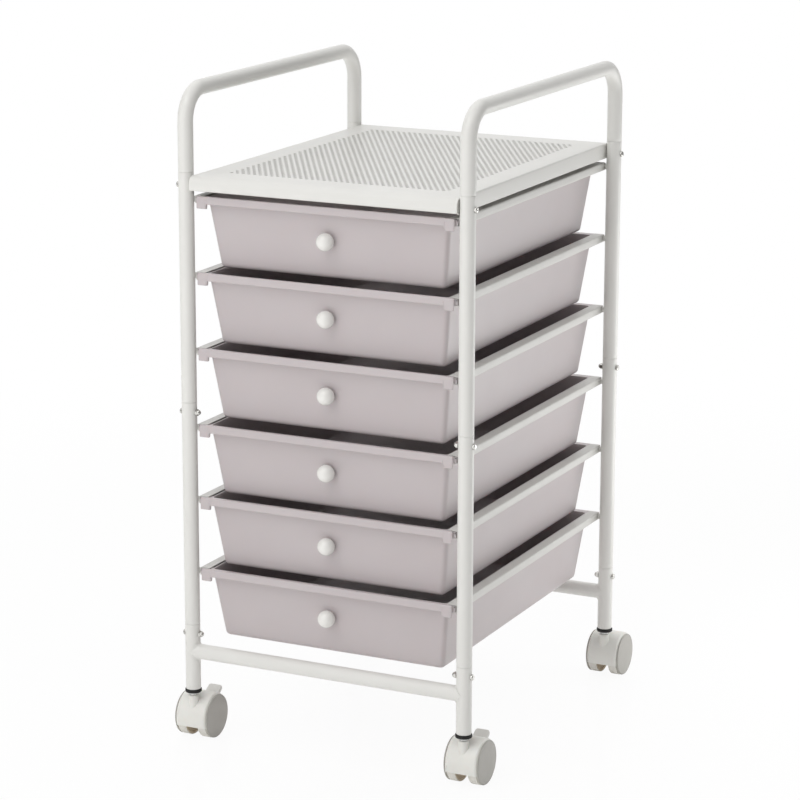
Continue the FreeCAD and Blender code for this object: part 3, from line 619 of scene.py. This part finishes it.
def tubShell():
    # Tub as rings of points: bottom, rounded edge, outer wall, over the top edge, inner wall, floor.
    d = drawerLook
    depth = d["top"] - d["bottom"]

    def wallRing(level, inset):
        share = (d["top"] - level) / depth
        halfX = d["topX"] + (d["lowX"] - d["topX"]) * share - inset
        halfY = d["topY"] + (d["lowY"] - d["topY"]) * share - inset
        return drawerRing(halfX, -halfY, halfY, max(d["corner"] - inset, 0.5), level)

    turn = np.linspace(0, np.pi / 2, 6)
    top, bottom, wall, edge, around = d["top"], d["bottom"], d["wall"], d["edge"], d["bottomRound"]
    floorRound, floorTop, cut = around - wall, bottom + d["floor"], edge * 0.3
    outside = [wallRing(bottom + around * (1 - math.cos(t)), around * (1 - math.sin(t))) for t in turn]
    inside = [wallRing(floorTop + floorRound * (1 - math.cos(t)), wall + floorRound * (1 - math.sin(t)))
              for t in turn]
    centre = np.zeros_like(inside[0])
    rings = [centre + (0, 0, bottom), wallRing(bottom, around + 3), *outside, wallRing(bottom + around + 2, 0),
             wallRing(top - 4, 0), wallRing(top - edge, 0), wallRing(top - cut, cut), wallRing(top, edge),
             wallRing(top, wall - edge), wallRing(top - cut, wall - cut), wallRing(top - edge, wall),
             wallRing(top - 4, wall), wallRing(floorTop + floorRound + 2, wall), *inside[::-1],
             wallRing(floorTop, around + 3), centre + (0, 0, floorTop)]
    return gridShell(np.stack(rings))


def sideRimShell():
    # Right-hand rim that runs in the rail: a low flange out from the wall and an upright edge, carried along Y.
    d = drawerLook
    root, top, low = d["topX"] - d["wall"], d["top"], d["rimLow"]
    outer, inner, floor = d["rimX"], d["rimX"] - d["skirt"], d["rimLow"] + d["flange"]
    cut = 0.3
    lower = [(root, low), (outer, low), (outer, top - cut), (outer - cut, top)]
    upper = [(root, floor), (inner, floor), (inner, top - cut), (inner + cut, top)]
    return slabShell(rounded(lower, [0, 1.0, 0.2, 0], 5, False), rounded(upper, [0, 0.5, 0.2, 0], 5, False),
                     edgeRows(d["rimFront"], d["topY"] - d["corner"] + 0.1, 0.25, 2))


def rimCornerShell():
    # Small upright wall that closes the right-hand rim's front end beside the band.
    d, sink = drawerLook, drawerLook["sink"]
    root, outer, top, low = d["topX"] - d["wall"], d["rimX"] - sink, d["top"] - sink, d["rimLow"] + sink
    lower = rounded([(root, low), (outer, low), (outer, low + 2.0)], [0, 1.0, 0], 5, False)
    upper = np.stack([lower[:, 0], np.full(len(lower), top)], -1)
    upper[-1, 1] -= d["ease"]
    return slabShell(lower, upper, edgeRows(d["rimFront"] + sink, d["rimFront"] + 1.4, 0.25, 2))


def endFlangeShell(end):
    # Flange from the end wall's middle line out to the rim; each half turns the corner, first along the side
    # and then along the end. The rear one has a skirt that hangs from its outer edge.
    d, ease = drawerLook, drawerLook["ease"]
    turn = np.linspace(0, np.pi / 2, 17)
    radius = d["corner"] - d["wall"] / 2
    cornerX, cornerY = d["topX"] - d["corner"], d["topY"] - d["corner"]
    share = turn / (np.pi / 4)

    def halfLine(x, y):
        return np.concatenate([np.stack([x, end * y], -1), np.stack([-x, end * y], -1)[::-1]])

    def outerLine(inset):
        rimX, rimY = d["rimX"] - 0.1 - inset, (d["rimRear"] if end > 0 else -d["rimFront"]) - inset
        x = np.where(share <= 1, rimX, cornerX + (rimX - cornerX) * (2 - share))
        y = np.where(share <= 1, cornerY + (rimY - cornerY) * share, rimY)
        return halfLine(x, y)

    root = halfLine(cornerX + radius * np.cos(turn), cornerY + radius * np.sin(turn))
    top, under = d["top"] - d["sink"], d["top"] - d["flange"]
    upper = [np.insert(root, 2, top, 1), np.insert(outerLine(ease), 2, top, 1),
             np.insert(outerLine(0), 2, top - ease, 1)]
    skirt = d["skirt"] if end > 0 else 0.0
    low = d["rimLow"] if end > 0 else under
    upper.append(np.insert(outerLine(0), 2, low + 0.01, 1))
    lower = [np.insert(root, 2, under, 1), np.insert(outerLine(skirt + 2 * ease), 2, under, 1),
             np.insert(outerLine(skirt + ease), 2, under, 1), np.insert(outerLine(skirt), 2, low, 1)]
    return sheetShell(np.stack(upper), np.stack(lower))


def bandShell():
    # Front band with a stop tab at each end: the lower edge steps down at the tabs, the upper edge is straight.
    d = drawerLook
    half, low, tab = d["bandX"], d["bandLow"], d["tabLow"]
    # Right half of the lower edge from the middle outwards; x always grows, so it pairs with the upper edge.
    line = [(0.0, low), (d["tabIn"] - 0.25, low), (d["tabIn"] + 0.25, tab), (half - 0.15, tab),
            (half, d["bandTop"] - 2.2)]
    right = rounded(line, [0, 0.9, 0.7, 0.9, 0], 3, False)
    lower = np.concatenate([right[:0:-1] * (-1, 1), right])
    upper = np.stack([lower[:, 0], np.full(len(lower), d["bandTop"])], -1)
    radius = d["bandCorner"]
    past = np.abs(upper[:, 0]) - (half - radius)
    drop = radius - np.sqrt(np.maximum(radius ** 2 - np.maximum(past, 0) ** 2, 0))
    upper[:, 1] -= np.where(past > 0, drop, 0)
    return slabShell(lower, upper, edgeRows(d["bandFront"], d["rimFront"], d["bandEdge"]))


knobLook = {"radius": 9.2, "reach": 7.0, "drop": 35.0, "seatEdge": 0.5, "shank": 2.9, "barb": 3.7,
            "barbLow": -3.85, "barbTop": -1.85}


def knobShell():
    # Ball with a flat seat turned about its own axis, then leant onto the drawer's sloped face.
    k, d = knobLook, drawerLook
    slope = (d["topY"] - d["lowY"]) / (d["top"] - d["bottom"])
    lean = math.pi / 2 + math.atan(slope)
    seat = math.sqrt(k["radius"] ** 2 - k["reach"] ** 2)
    start = math.atan2(k["seatEdge"] - k["reach"], seat + 0.35)
    ball = [(k["radius"] * math.cos(a), k["reach"] + k["radius"] * math.sin(a))
            for a in np.linspace(start, np.pi / 2, 34)]
    shank = k["shank"]
    profile = [(0, k["barbLow"]), (shank, k["barbLow"]), (k["barb"], k["barbTop"]), (shank, k["barbTop"]),
               (shank, 0), (seat - 0.5, 0), (seat - 0.1, 0.12)] + ball
    points, quads, numbers = turnedShell(profile, around=48)
    x, y, z = points.T
    faceY = d["topY"] - (d["top"] + k["drop"]) * slope
    turned = np.stack([x, y * math.cos(lean) - z * math.sin(lean) - faceY,
                       y * math.sin(lean) + z * math.cos(lean) - k["drop"]], -1)
    return turned, quads, numbers


for i, top in enumerate(railTops):
    body = f"drawer_{i + 1}"
    parts = [tubShell(), bandShell(), *bothSides(sideRimShell()), *bothSides(rimCornerShell()),
             endFlangeShell(-1), endFlangeShell(1)]
    makePiece(f"drawerTub.{i + 1}", [placed(part, z=top) for part in parts], [drawerPlastic], body, [body])
    makePiece(f"drawerKnob.{i + 1}", [placed(knobShell(), z=top)], [knobPlastic], body, [f"knob_{i + 1}"])
print("drawers made")


# Caster wheels.

wheelLook = {"radius": 23.5, "inner": 7.0, "shoulder": 16.5, "neck": 21.3, "discBack": 18.0, "disc": 23.3,
             "outer": 19.3, "bore": 2.55, "boreEnd": 15.3, "hub": 7.5, "recess": 1.2, "recessOut": 20.5,
             "rimIn": 22.4, "groove": 0.3, "grooveDepth": 0.3, "dish": 12.0, "dishDepth": 0.05}


def wheelShell():
    # Right-hand wheel turned about its axle: blind bore, dished inner side, tread, neck, bevelled outer rim,
    # and inside a fine groove the flat cover disc.
    w = wheelLook
    inner, floor, outer, disc, ring = w["inner"], w["inner"] + w["recess"], w["outer"], w["disc"], w["rimIn"]
    half, grooveFloor, middle = w["groove"] / 2, outer - w["grooveDepth"], outer - w["dishDepth"]
    bore = [(0, w["boreEnd"]), (w["bore"], w["boreEnd"]), (w["bore"], inner)]
    dish = rounded([(w["bore"], inner), (w["hub"], inner), (w["hub"], floor), (w["recessOut"], floor),
                    (w["recessOut"], inner), (w["radius"], inner)], [0, 0.3, 0.5, 0.5, 0.3, 0], 4, False)[1:-1]
    tread = rounded([(w["recessOut"], inner), (w["radius"], inner), (w["radius"], w["shoulder"]),
                     (w["neck"], w["shoulder"]), (w["neck"], w["discBack"])],
                    [0, 0.8, 1.0, 0.2, 0], 6, False)[1:]
    rim = rounded([(w["neck"], w["discBack"]), (disc, w["discBack"]), (disc, outer - 0.7),
                   (disc - 0.4, outer - 0.1), (ring + half, outer), (ring + half, grooveFloor)],
                  [0, 0.3, 0.4, 0.4, 0.15, 0], 4, False)[1:]
    face = rounded([(ring + half, grooveFloor), (ring - half, grooveFloor), (ring - half, outer),
                    (w["dish"], middle)], [0, 0, 0.15, 0], 4, False)[1:]
    profile = np.concatenate([bore, dish, tread, rim, face, [(0.0, middle)]])
    # Material numbers: 2 inner side, 0 tread, 1 cover disc.
    numbers = np.concatenate([np.full(3 + len(dish), 2), np.full(len(tread), 0),
                              np.full(len(rim) + len(face), 1)])
    return turnedShell(profile, axis="x", numbers=numbers, around=96)


def axlePlace(corner):
    # Middle of a caster's axle.
    sideX, endY = corners[corner]
    return sideX * post["x"], endY * post["y"] + casterTrail, wheelLook["radius"]


for corner in corners:
    for letter, shell in (("a", mirroredX(wheelShell())), ("b", wheelShell())):
        name = f"wheel_{corner}_{letter}"
        makePiece(f"casterWheel.{corner}.{letter}", [placed(shell, *axlePlace(corner))],
                  [treadNylon, discAbs, innerNylon], name, [name])
print("wheels made")


# Caster sockets.

socketLook = {"bore": 3.95, "radius": 6.9, "top": 85.2, "flange": 8.8, "flangeLow": 53.2, "recess": 5.75,
              "recessTop": 54.95}


def socketShell():
    # Insert turned about the post's axis: bore, recess round the stem's collar, flange under the tube, sleeve.
    s = socketLook
    profile = [(s["bore"], s["recessTop"]), (s["recess"], s["recessTop"]), (s["recess"], s["flangeLow"]),
               (s["flange"], s["flangeLow"]), (s["flange"], post["footLow"]), (s["radius"], post["footLow"]),
               (s["radius"], s["top"]), (s["bore"], s["top"])]
    return turnedShell(rounded(profile, [0, 0, 0.3, 1.3, 1.0, 0, 0.6, 0.4], 5), True)


makePiece("casterSockets", [placed(socketShell(), sideX * post["x"], endY * post["y"])
                            for sideX, endY in corners.values()],
          [blackInsert], "frame", ["caster_sockets"])
print("sockets made")


# Brake levers.

leverLook = {"angle": 33.0, "hub": 6.0, "bore": 2.55, "armX": 2.2, "arm": 4.0, "start": 25.1, "tip": 39.3,
             "rootX": 8.5, "tipX": 7.8, "pad": 4.0, "rootCorner": 1.5, "corner": 3.0, "edge": 1.2,
             "armLow": 5.0, "armEdge": 0.3}


def plateShell(outline, thickness, edge):
    # Flat plate from a closed outline in x and y, with rounded edges above and below.
    half = thickness / 2
    rings = [np.insert(insetLoop(outline, inset), 2, depth, 1) for inset, depth in edgeRows(-half, half, edge)]
    caps = [np.tile(np.append(outline.mean(0), depth), (len(outline), 1)) for depth in (-half, half)]
    return gridShell(np.stack([caps[0], *rings, caps[1]]))


def leverShells():
    # Hub turned about the axle; arm and pad are plates that run outwards along Y, then all is leant back.
    k = leverLook
    hub = [(k["bore"], -k["armX"]), (k["hub"], -k["armX"]), (k["hub"], k["armX"]), (k["bore"], k["armX"])]
    armX, rootX, tipX, armTop = k["armX"], k["rootX"], k["tipX"], k["start"] + k["edge"]
    arm = np.array([(-armX, k["armLow"]), (armX, k["armLow"]), (armX, armTop), (-armX, armTop)])
    pad = rounded([(-rootX, k["start"]), (rootX, k["start"]), (tipX, k["tip"]), (-tipX, k["tip"])],
                  [k["rootCorner"], k["rootCorner"], k["corner"], k["corner"]], 6)
    lean = math.radians(k["angle"])
    turn = np.array([[1, 0, 0], [0, math.cos(lean), -math.sin(lean)], [0, math.sin(lean), math.cos(lean)]])
    shells = [turnedShell(hub, True, "x"), plateShell(arm, k["arm"], k["armEdge"]),
              plateShell(pad, k["pad"], k["edge"])]
    return [(points @ turn.T, quads, numbers) for points, quads, numbers in shells]


for corner in ("front_left", "front_right"):
    name = "brake_lever_" + corner
    makePiece("brakeLever." + corner, [placed(shell, *axlePlace(corner)) for shell in leverShells()],
              [leverAbs], name, [name])
print("levers made")


# Camera, floor and light.

cameraView = {"azimuth": 25.751, "elevation": 13.889, "roll": 0.15, "focalPixels": 2965.0, "sideways": -6.659,
              "height": 345.562, "distance": 3166.0, "sensorWidth": 36.0, "pictureWidth": 800}


def axesMatrix(right, up, back, spot):
    return Matrix([[right[i], up[i], back[i], spot[i]] for i in range(3)] + [[0, 0, 0, 1]])


def makeCamera():
    # The camera turns round the cart's middle by azimuth and elevation and looks at a point beside it.
    v = cameraView
    a, e, r = (math.radians(v[k]) for k in ("azimuth", "elevation", "roll"))
    back = np.array([math.sin(a) * math.cos(e), -math.cos(a) * math.cos(e), math.sin(e)])
    level = np.array([math.cos(a), math.sin(a), 0.0])
    upright = np.cross(back, level)
    right = math.cos(r) * level + math.sin(r) * upright
    up = math.cos(r) * upright - math.sin(r) * level
    spot = (level * v["sideways"] + (0, 0, v["height"]) + back * v["distance"] + rowShift) * mm
    data = bpy.data.cameras.new("photoCamera")
    data.sensor_width = v["sensorWidth"]
    data.lens = v["sensorWidth"] * v["focalPixels"] / v["pictureWidth"]
    data.clip_end = 50.0
    camera = addObject("photoCamera", data)
    camera.matrix_world = axesMatrix(right, up, back, spot)
    bpy.context.scene.camera = camera


stageLook = {"floor": "#f4f4f3", "floorRings": (0.0, 400.0, 1600.0, 9000.0), "clearRadius": 0.75,
             "fadeRadius": 1.6, "floorWhite": 0.93, "floorGlow": 0.16, "worldLight": 0.15}


def makeFloor():
    # Pale floor, a grid with rounded outline; far from the cart it turns into the plain white background.
    look = stageLook
    points, quads = turnedShell([(radius, 0.0) for radius in look["floorRings"]], around=64)[:2]
    mesh = bpy.data.meshes.new("studioFloor")
    mesh.from_pydata((points * mm).tolist(), [], quads.tolist())
    floor = addObject("studioFloor", mesh)
    material = bpy.data.materials.new("paleFloor")
    tree = emptyTree(material)
    place = addNode(tree, "ShaderNodeTexCoord").outputs["Object"]
    noise = addNode(tree, "ShaderNodeTexNoise", values={"Scale": 6.0}, links={"Vector": place})
    gloss = addNode(tree, "ShaderNodeMapRange", values={"To Min": 0.1, "To Max": 0.2},
                    links={"Value": noise.outputs["Fac"]})
    paint = addNode(tree, "ShaderNodeBsdfPrincipled", values={"Base Color": linear(look["floor"])},
                    links={"Roughness": gloss.outputs["Result"]})
    white = addNode(tree, "ShaderNodeEmission", values={"Color": (1, 1, 1, 1), "Strength": 1.0})
    away = addNode(tree, "ShaderNodeVectorMath", {"operation": "LENGTH"}, links={"Vector": place})
    fade = addNode(tree, "ShaderNodeMapRange", {"interpolation_type": "SMOOTHSTEP"},
                   {"From Min": look["clearRadius"], "From Max": look["fadeRadius"],
                    "To Min": look["floorWhite"], "To Max": 1.0}, {"Value": away.outputs["Value"]})
    path = addNode(tree, "ShaderNodeLightPath")
    seen = addNode(tree, "ShaderNodeMath", {"operation": "MULTIPLY"},
                   links={0: fade.outputs["Result"], 1: path.outputs["Is Camera Ray"]})
    mix = addNode(tree, "ShaderNodeMixShader", links={0: seen.outputs["Value"], 1: paint.outputs["BSDF"],
                                                      2: white.outputs["Emission"]})
    # The studio's white floor also lights the cart from below.
    unseen = addNode(tree, "ShaderNodeMapRange", values={"To Min": look["floorGlow"], "To Max": 0.0},
                     links={"Value": path.outputs["Is Camera Ray"]})
    glow = addNode(tree, "ShaderNodeEmission", values={"Color": (1, 1, 1, 1)},
                   links={"Strength": unseen.outputs["Result"]})
    both = addNode(tree, "ShaderNodeAddShader", links={0: mix.outputs["Shader"], 1: glow.outputs["Emission"]})
    addNode(tree, "ShaderNodeOutputMaterial", links={"Surface": both.outputs["Shader"]})
    mesh.materials.append(material)


# Soft white patches of the studio: a backdrop behind the cart and a ceiling over it. Each is centred on its
# direction and fades out between two cosines of the angle from there.
patchFrom, patchFull = 0.55, 0.85
patches = {"backdrop": {"towards": (-0.42, 0.87, 0.25), "strength": 0.8},
           "ceiling": {"towards": (0.0, 0.0, 1.0), "strength": 0.9}}


def makeWorld():
    # Dim even light plus the patches; plain white wherever the camera looks past the cart.
    world = bpy.data.worlds.new("studio")
    bpy.context.scene.world = world
    tree = emptyTree(world)
    direction = addNode(tree, "ShaderNodeTexCoord").outputs["Generated"]
    total = addNode(tree, "ShaderNodeValue").outputs["Value"]
    total.default_value = stageLook["worldLight"]
    for patch in patches.values():
        angle = addNode(tree, "ShaderNodeVectorMath", {"operation": "DOT_PRODUCT"}, {1: patch["towards"]},
                        {0: direction})
        soft = addNode(tree, "ShaderNodeMapRange", {"interpolation_type": "SMOOTHSTEP"},
                       {"From Min": patchFrom, "From Max": patchFull, "To Max": patch["strength"]},
                       {"Value": angle.outputs["Value"]})
        total = addNode(tree, "ShaderNodeMath", {"operation": "ADD"},
                        links={0: total, 1: soft.outputs["Result"]}).outputs["Value"]
    path = addNode(tree, "ShaderNodeLightPath")
    seen = addNode(tree, "ShaderNodeMath", {"operation": "MAXIMUM"},
                   links={0: path.outputs["Is Camera Ray"], 1: path.outputs["Is Transmission Ray"]})
    strength = addNode(tree, "ShaderNodeMix", values={"B": 1.0},
                       links={"Factor": seen.outputs["Value"], "A": total})
    light = addNode(tree, "ShaderNodeBackground", values={"Color": (1, 1, 1, 1)},
                    links={"Strength": strength.outputs["Result"]})
    addNode(tree, "ShaderNodeOutputWorld", links={"Surface": light.outputs["Background"]})


# Each lamp stands at "spot" and shines at "aim"; sizes in metres, power in watts.
lamps = {"front": {"spot": (-0.222, -2.533, 0.891), "aim": (0, 0, 0.35), "size": 1.8, "power": 14.2},
         "frontHigh": {"spot": (-0.433, -1.614, 2.342), "aim": (0, 0, 0.35), "size": 1.8, "power": 15.0},
         "frontLeft": {"spot": (-1.776, -1.776, 1.023), "aim": (0, 0, 0.35), "size": 1.8, "power": 5.4},
         "rear": {"spot": (0.56, 0.45, 0.27), "aim": (0.157, 0.18, 0.27), "size": 0.45, "power": 1.5}}


def makeLamps():
    for name, lamp in lamps.items():
        data = bpy.data.lights.new(name + "Lamp", "AREA")
        data.size = lamp["size"]
        data.energy = lamp["power"]
        back = np.array(lamp["spot"]) - lamp["aim"]
        back = back / np.linalg.norm(back)
        right = np.cross((0, 0, 1), back)
        right = right / np.linalg.norm(right)
        up = np.cross(back, right)
        addObject(name + "Lamp", data).matrix_world = axesMatrix(right, up, back, lamp["spot"])


makeCamera()
makeFloor()
makeWorld()
makeLamps()
bpy.context.scene.view_settings.view_transform = "Standard"
print("stage made")
